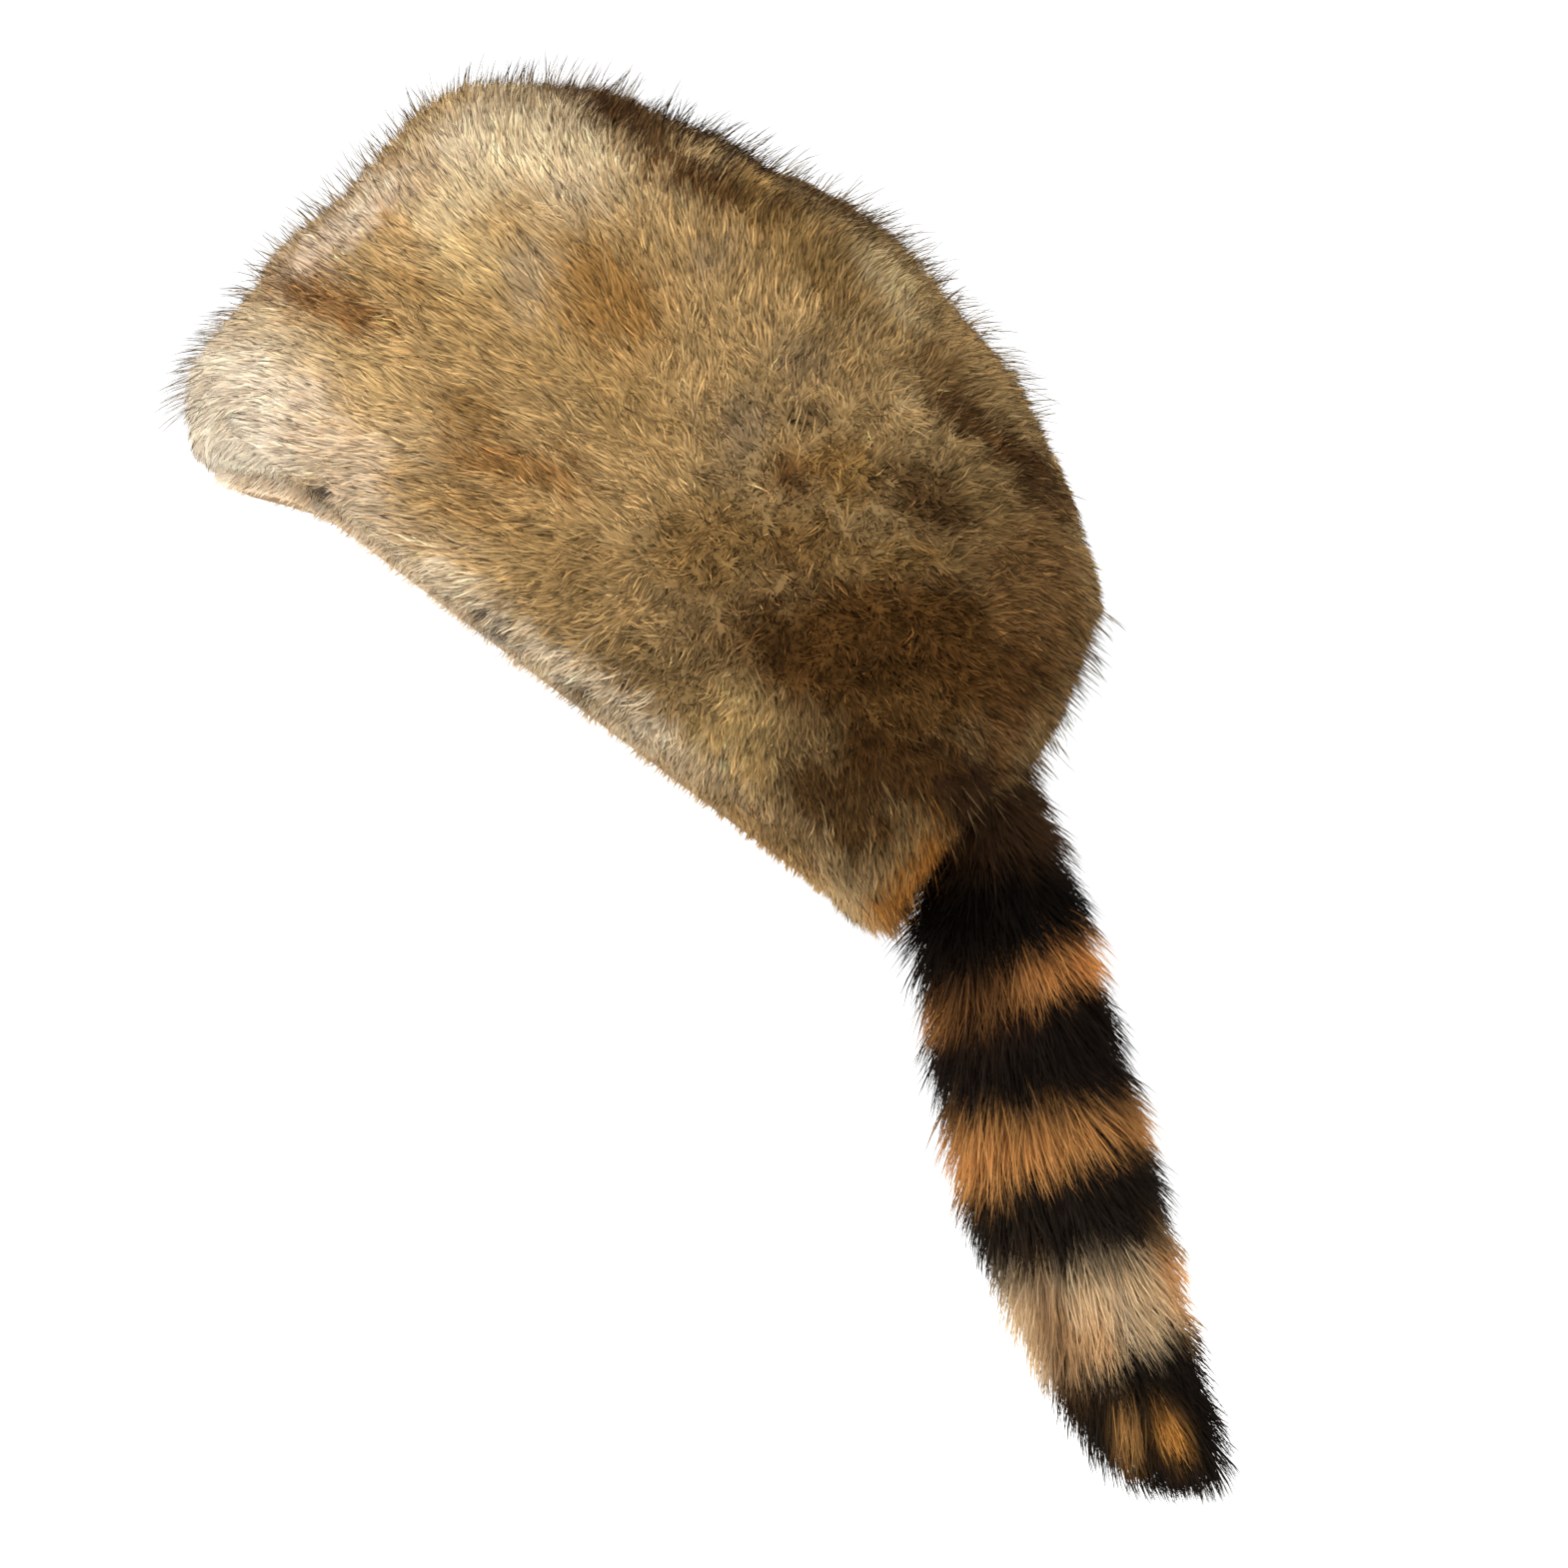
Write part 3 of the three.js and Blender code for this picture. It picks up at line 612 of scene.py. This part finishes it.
def fur_material(name, roughness, see_through):
    """Hair: colour from each strand, finely mottled, that lets some light through."""
    material = bpy.data.materials.new(name)
    material.use_nodes = True
    nodes, links = material.node_tree.nodes, material.node_tree.links
    shader = nodes["Principled BSDF"]
    output = nodes["Material Output"]
    tint = nodes.new("ShaderNodeAttribute")
    tint.attribute_name = "fur_colour"
    place = nodes.new("ShaderNodeTexCoord")
    mottle = nodes.new("ShaderNodeTexNoise")
    mottle.inputs["Scale"].default_value = 900
    mottle.inputs["Detail"].default_value = 2
    spread = nodes.new("ShaderNodeMapRange")
    spread.inputs["To Min"].default_value = 0.8
    spread.inputs["To Max"].default_value = 1.2
    blend = nodes.new("ShaderNodeVectorMath")
    blend.operation = "SCALE"
    through = nodes.new("ShaderNodeBsdfTranslucent")
    mix = nodes.new("ShaderNodeMixShader")
    mix.inputs["Fac"].default_value = see_through
    links.new(place.outputs["Object"], mottle.inputs["Vector"])
    links.new(mottle.outputs["Fac"], spread.inputs["Value"])
    links.new(tint.outputs["Color"], blend.inputs[0])
    links.new(spread.outputs["Result"], blend.inputs["Scale"])
    links.new(blend.outputs["Vector"], shader.inputs["Base Color"])
    links.new(blend.outputs["Vector"], through.inputs["Color"])
    links.new(shader.outputs["BSDF"], mix.inputs[1])
    links.new(through.outputs["BSDF"], mix.inputs[2])
    links.new(mix.outputs["Shader"], output.inputs["Surface"])
    shader.inputs["Roughness"].default_value = roughness
    shader.inputs["Specular IOR Level"].default_value = 0.02
    return material


def pelt_material(name, dark, light, size, roughness, bump):
    """Skin or underfur: two tones mottled together over a fine grain."""
    material = bpy.data.materials.new(name)
    material.use_nodes = True
    nodes, links = material.node_tree.nodes, material.node_tree.links
    shader = nodes["Principled BSDF"]
    place = nodes.new("ShaderNodeTexCoord")
    cloud = nodes.new("ShaderNodeTexNoise")
    cloud.inputs["Scale"].default_value = size
    cloud.inputs["Detail"].default_value = 6
    grain = nodes.new("ShaderNodeTexNoise")
    grain.inputs["Scale"].default_value = size * 40
    grain.inputs["Detail"].default_value = 3
    ramp = nodes.new("ShaderNodeValToRGB")
    ramp.color_ramp.elements[0].position = 0.35
    ramp.color_ramp.elements[0].color = (*linear(dark), 1)
    ramp.color_ramp.elements[1].position = 0.65
    ramp.color_ramp.elements[1].color = (*linear(light), 1)
    relief = nodes.new("ShaderNodeBump")
    relief.inputs["Strength"].default_value = bump
    relief.inputs["Distance"].default_value = 0.4 * MM
    links.new(place.outputs["Object"], cloud.inputs["Vector"])
    links.new(place.outputs["Object"], grain.inputs["Vector"])
    links.new(cloud.outputs["Fac"], ramp.inputs["Fac"])
    links.new(ramp.outputs["Color"], shader.inputs["Base Color"])
    links.new(grain.outputs["Fac"], relief.inputs["Height"])
    links.new(relief.outputs["Normal"], shader.inputs["Normal"])
    shader.inputs["Roughness"].default_value = roughness
    shader.inputs["Specular IOR Level"].default_value = 0.2
    return material


def surface_mesh(name, places, triangles, colours, material):
    used, index = np.unique(triangles, return_inverse=True)
    mesh = bpy.data.meshes.new(name)
    mesh.from_pydata(places[used].tolist(), [], index.reshape(-1, 3).tolist())
    mesh.polygons.foreach_set("use_smooth", np.ones(len(mesh.polygons), bool))
    paint_vertices(mesh, colours[used])
    mesh.materials.append(material)
    return new_object(name, mesh)


def strand_colours(tint, flecks, form, shade):
    """Colours along each strand, from root to tip, darker at the root as painted shade deep in the fur."""
    count = len(tint)
    warm = 1 + random.normal(0, 0.03, (count, 1)) * np.array([[1.0, 0.0, -1.2]])
    own = tint * np.exp(np.clip(random.normal(0, 1, (count, 1)), -1.6, 1.3) * shade) * warm
    low, high = form["tipped"]
    tipped = random.random(count) < low + (high - low) * flecks
    dark = (linear(TIP_COLOUR) + own * 0.08) * np.exp(random.normal(0, 0.3, (count, 1)))
    stops = []
    for tone, share in zip(form["tones"], form["dark"]):
        share = (share * tipped)[:, None]
        # Root tones below 0.9 are painted shade deep in the fur, made darker still where the fur is flecked
        # and its tufts part
        tone = np.where(tone < 0.9, tone * (1 - 0.6 * flecks), tone)[:, None]
        stops.append(np.clip(own * tone * (1 - share) + dark * share, 0, 0.95))
    return np.stack(stops, 1)


def rim_points(sectors=24, between=8):
    """Points along the hide's lower edge: the lowest in each sector around the opening, and some between."""
    places, _, _ = arrays(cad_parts["band_hide"])
    height = -places @ OVER_RIM
    forward = places @ np.array([0, OVER_RIM[2], -OVER_RIM[1]])
    sector = ((np.arctan2(places[:, 0], forward) / math.tau + 0.5) * sectors).astype(int) % sectors
    order = np.argsort(-height)
    lowest = np.full((sectors, 3), np.nan)
    lowest[sector[order]] = places[order]
    lowest = lowest[~np.isnan(lowest[:, 0])]
    following = np.roll(lowest, -1, axis=0)
    return np.concatenate([lowest + (following - lowest) * k / between for k in range(between)])


def at_corner(places):
    """How near places are to the cap's lower back corner, from 0 to 1."""
    return np.clip((places[:, 1] / MM - 86) / 14, 0, 1) * np.clip((-30 - places[:, 2] / MM) / 20, 0, 1)


def make_cap_fur(places, normals, triangles, form, seed):
    """Strands of one kind on the cap: points, widths' directions, widths, shading normals and colours."""
    spots, facing, _ = scatter(places, normals, triangles, form["count"])
    fullness = np.clip(distances(hide_tree, spots) / FULL_DEPTH, LEAST_FULLNESS, 1)
    kept = fullness >= form["least_depth"]
    if form["least_depth"] > 0:
        kept &= random.random(len(spots)) < 0.65 + 0.6 * ripple(spots, 7 * MM, 25)
    spots, facing, fullness = spots[kept], facing[kept], fullness[kept]
    count = len(spots)
    to_rim = np.array([rim_tree.find(p)[2] for p in spots]) / RIM_REACH
    near_rim = np.clip(1.15 - to_rim, 0, 1)
    lean, stand, unruly = lay_at(spots)
    corner = np.clip(2.3 - to_rim, 0, 1) * at_corner(spots)
    over_rim = unit(OVER_RIM + (CORNER_DOWN - OVER_RIM) * at_corner(spots)[:, None])
    lean = unit(lean) * (1 - near_rim)[:, None] + over_rim * near_rim[:, None]
    lean = lean - facing * (lean * facing).sum(1, keepdims=True)
    fallen = FALLEN - facing * (facing @ FALLEN)[:, None]
    lean = lean + fallen * np.clip(0.9 - np.linalg.norm(lean, axis=1, keepdims=True), 0, 1) * 1.2
    swing = ripple(spots, 24 * MM, 21) * 0.45 + ripple(spots, 7 * MM, 22) * 0.8
    angle = unruly * (swing + random.normal(0, 0.35, count))
    turned = np.cross(facing, lean)
    lean = lean * np.cos(angle)[:, None] + turned * np.sin(angle)[:, None]
    stand = stand + unruly * (ripple(spots, 13 * MM, 23) * 0.4 + random.normal(0, 0.3, count))
    stand = np.clip(stand, math.radians(14), math.radians(86))
    over = math.radians(24) + math.radians(50) * np.clip(facing @ OVER_RIM, 0, 1)
    stand = stand + (over - stand) * np.maximum(near_rim, corner * 0.7)
    low, high, rarity = form["past"]
    past = (low + (high - low) * random.random(count) ** rarity) * MM
    for back, up, radius, extra in CAP_FULLER:
        past += extra * MM * np.exp(-((spots[:, 1:] / MM - (back, up)) ** 2).sum(1) / radius**2)
    edge = random.uniform(1.5, 4, count) * MM
    past = edge + (past - edge) * fullness
    past += CORNER_FULLER * corner * random.uniform(0.3, 1, count)
    inset = INSET * fullness
    roots = spots - facing * inset[:, None]
    reach = (inset + past) / np.sin(stand)
    longest = form["longest"] * MM + CORNER_FULLER * corner
    length = np.clip(reach, 4 * MM, longest) * random.uniform(0.85, 1.1, count)
    points, side, widths = strands(roots, facing, lean, stand, length, form)
    tint, flecks = cap_colour(points[:, -1] * 0.5 + points[:, -2] * 0.5)
    flecks = np.clip(flecks * (1 + 0.7 * ripple(roots, 5 * MM, 34)), 0, 1)
    points, _ = gather(points, roots, 26, form["pull"], seed)
    points, tuft = gather(points, roots, 9, 0.4 * flecks**1.5, 77)
    own = np.random.default_rng(seed + 1)
    tuft_shade = own.normal(0, 1, tuft.max() + 1)[tuft] * (0.04 + 0.22 * flecks**1.5)
    tint = tint * np.exp(tuft_shade + ripple(roots, 12 * MM, 31) * 0.06 + streaks(roots) * 0.1)[:, None]
    grizzled = np.clip((flecks - 0.7) / 0.2, 0, 1)
    tint = tint * (1 + (form["grizzled"] - 1) * grizzled)[:, None]
    widths = widths * (1 - 0.2 * grizzled)
    colours = strand_colours(tint, flecks * (1 - 0.35 * grizzled), form, (0.04 + 0.3 * flecks)[:, None])
    shading = facing + 0.12 * random.normal(0, 1, facing.shape) + (0.15 + 0.5 * flecks)[:, None] * unit(lean)
    return points, side, widths, unit(shading), colours


def make_fringe(form):
    """Strands that grow from the hide beside its lower edge and cover that edge."""
    places, normals, triangles = arrays(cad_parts["band_hide"])
    spots, facing, _ = scatter(places, normals, triangles, HIDE_POINTS)
    to_edge = np.array([rim_tree.find(p)[2] for p in spots])
    outward = unit(spots - OVER_RIM * (spots @ OVER_RIM)[:, None])
    kept = np.flatnonzero(((facing * outward).sum(1) > 0.3) & (to_edge < 0.8 * RIM_REACH))
    kept = np.sort(random.permutation(kept)[: form["count"]])
    spots, facing, to_edge = spots[kept], facing[kept], to_edge[kept]
    count = len(spots)
    corner = at_corner(spots)
    lean = OVER_RIM + (CORNER_DOWN - OVER_RIM) * corner[:, None]
    lean = lean - facing * (lean * facing).sum(1, keepdims=True)
    swing = ripple(spots, 12 * MM, 24) * 0.35 + random.normal(0, 0.15, count)
    lean = lean * np.cos(swing)[:, None] + np.cross(facing, lean) * np.sin(swing)[:, None]
    stand = np.radians(random.uniform(8, 26, count))
    low, high, rarity = form["past"]
    past = (low + (high - low) * random.random(count) ** rarity) * MM
    past += CORNER_FULLER * corner * random.uniform(0.5, 1.1, count)
    length = np.clip(to_edge + past, 3 * MM, form["longest"] * MM)
    points, side, widths = strands(spots, facing, lean, stand, length, form)
    points, _ = gather(points, spots, 20, form["pull"], 90)
    tint, flecks = cap_colour(points[:, -1])
    tint += (dyed(FRINGE_TONE) - tint) * 0.4 * (1 - np.clip(spots[:, 1:2] / MM / 70, 0, 1))
    shading = unit(facing + 0.12 * random.normal(0, 1, facing.shape))
    return points, side, widths, shading, strand_colours(tint, flecks, form, 0.08)


def make_tail_fur(places, normals, triangles, form):
    """Strands of one kind all over the tail, in the same five arrays."""
    count = form["count"]
    spots, facing, _ = scatter(places, normals, triangles, count)
    lean = math.radians(TAIL_LEAN_DEG)
    axis = np.array([0, math.sin(lean), -math.cos(lean)])
    down = axis - facing * (facing @ axis)[:, None]
    swing = 0.2 * ripple(spots, 20 * MM, 51) + 0.25 * ripple(spots, 5 * MM, 53)
    swing += random.normal(0, 0.12, count)
    down = down * np.cos(swing)[:, None] + np.cross(facing, down) * np.sin(swing)[:, None]
    stand = np.radians(32) + random.normal(0, 0.14, count) + 0.16 * ripple(spots, 7 * MM, 52)
    past = random.uniform(*form["past"], count) * MM
    along, across = tail_frame(spots)
    fuller = np.zeros(count)
    for middle_along, middle_across, half_along, half_across, extra in TAIL_FULLER:
        far = ((along - middle_along) / half_along) ** 2 + ((across - middle_across) / half_across) ** 2
        fuller += extra * MM * np.exp(-far)
    past = past + fuller * random.random(count)
    length = np.clip((TAIL_INSET + past) / np.sin(stand), 4 * MM, form["longest"] * MM + 2 * fuller)
    roots = spots - facing * TAIL_INSET
    points, side, widths = strands(roots, facing, down, stand, length, form)
    points, _ = gather(points, roots, 12, form["pull"], 60)
    tint = tail_colour(points[:, -1] * 0.4 + points[:, -2] * 0.6)
    colours = strand_colours(tint, np.zeros(count), form, 0.16)
    shading = unit(facing + 0.25 * random.normal(0, 1, facing.shape) + 0.2 * axis)
    return points, side, widths, shading, colours


def add_cap_hair(kind, points, side, widths, shading, colours):
    """Meshes of one kind of hair, one for each part of the cap that it grows on."""
    roots = points[:, 0]
    crown = distances(crown_tree, roots) < distances(band_tree, roots)
    which = np.where(crown, 4, 2 * (roots[:, 0] > 0) + (roots[:, 1] < QUARTERS_PART))
    for k, part in enumerate(PARTS):
        own = which == k
        if not own.any():
            continue
        piece = ribbon_mesh(
            f"{part}_{kind}_hair", points[own], side[own], widths[own], shading[own], colours[own], hair
        )
        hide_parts("crown_fur" if part == "crown" else "band_fur")
        pieces.append((piece, "cap_fur"))


# What all the fur is measured from and made of
hide_tree = tree_of(["band_hide", "crown_hide"])
crown_tree = tree_of(["crown_fur"])
band_tree = tree_of(["band_fur"])
rim_tree = tree_of_points(rim_points())

hair = fur_material("raccoon_hair", 0.6, 0.5)
underfur = fur_material("raccoon_underfur", 0.95, 0)
suede = pelt_material("suede", (160, 134, 102), (184, 158, 124), 90, 0.9, 0.6)

# The smooth coat that the cap's hairs stand on, and the underfur below it
coat, coat_normals, coat_faces = pelt(["band_fur", "crown_fur"], 4 * MM, 40)
coat_depth = distances(hide_tree, coat)
coat_faces = coat_faces[(coat_depth[coat_faces] > LEAST_COAT).all(1)]
middles = coat[coat_faces].mean(1)
on_crown = distances(crown_tree, middles) < distances(band_tree, middles)
skin = coat - coat_normals * (INSET * np.clip(coat_depth / FULL_DEPTH, LEAST_FULLNESS, 1))[:, None]
# The underfur's colour is the fur's own darkened to 0.6: painted shade deep under the hairs
skin_colour_in_shade = cap_colour(skin)[0] * 0.6

pieces = []
for name, faces, node in (
    ("band_underfur", coat_faces[~on_crown], "band_fur"),
    ("crown_underfur", coat_faces[on_crown], "crown_fur"),
):
    base = surface_mesh(name, skin, faces, skin_colour_in_shade, underfur)
    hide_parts(node)
    pieces.append((base, "cap_fur"))

for n, (kind, form) in enumerate(HAIRS.items()):
    add_cap_hair(kind, *make_cap_fur(coat, coat_normals, coat_faces, form, 40 + 10 * n))
add_cap_hair("fringe", *make_fringe(FRINGE_HAIRS))

# Tail
tail, tail_normals, tail_faces = pelt(["tail"], 3 * MM, 10)
tail_depth = distances(hide_tree, tail)
tail_faces = tail_faces[(tail_depth[tail_faces] > LEAST_TAIL).all(1)]
core_places = tail - tail_normals * TAIL_INSET
# The tail's underfur is its own colour darkened to 0.6: painted shade deep under the hairs
core = surface_mesh("tail_underfur", core_places, tail_faces, tail_colour(core_places) * 0.6, underfur)
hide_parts("tail")
pieces.append((core, "tail_fur"))
for kind, form in TAIL_HAIRS.items():
    piece = ribbon_mesh(f"tail_{kind}_hair", *make_tail_fur(tail, tail_normals, tail_faces, form), hair)
    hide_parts("tail")
    pieces.append((piece, "tail_fur"))

for piece, slot in pieces:
    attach(piece, "root")

for name in ("band_hide", "crown_hide"):
    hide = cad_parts[name].data
    hide.materials.clear()
    hide.materials.append(suede)

# Floor, backdrop, camera and light
low, high = (np.array(corner) for corner in cad_box)
bpy.ops.mesh.primitive_plane_add(size=60, location=(0, 0, low[2] - FLOOR_DROP))
floor = bpy.context.object
floor.name = "floor"
paint = bpy.data.materials.new("pale_floor")
paint.use_nodes = True
paint.node_tree.nodes["Principled BSDF"].inputs["Base Color"].default_value = (0.97, 0.97, 0.97, 1)
paint.node_tree.nodes["Principled BSDF"].inputs["Roughness"].default_value = 0.9
floor.data.materials.append(paint)

world = bpy.data.worlds.new("studio")
world.use_nodes = True
world.node_tree.nodes["Background"].inputs["Color"].default_value = (1, 1, 1, 1)
world.node_tree.nodes["Background"].inputs["Strength"].default_value = 1.2
bpy.context.scene.world = world


def aim(obj, target):
    obj.rotation_euler = (Vector(target) - obj.location).to_track_quat("-Z", "Y").to_euler()


camera_data = bpy.data.cameras.new("camera")
camera_data.sensor_width = 36
camera_data.lens = 36 * VIEW_DISTANCE / VIEW_HEIGHT
camera = new_object("camera", camera_data)
camera.location = VIEW_CENTRE + Vector((VIEW_DISTANCE, 0, 0))
aim(camera, VIEW_CENTRE)
bpy.context.scene.camera = camera

for name, place, size, power in LIGHTS:
    lamp = bpy.data.lights.new(name, "AREA")
    lamp.size = size
    lamp.energy = power
    light = new_object(name, lamp)
    light.location = place
    aim(light, (0, 0.05, 0.03))

bpy.context.scene.view_settings.view_transform = "Standard"
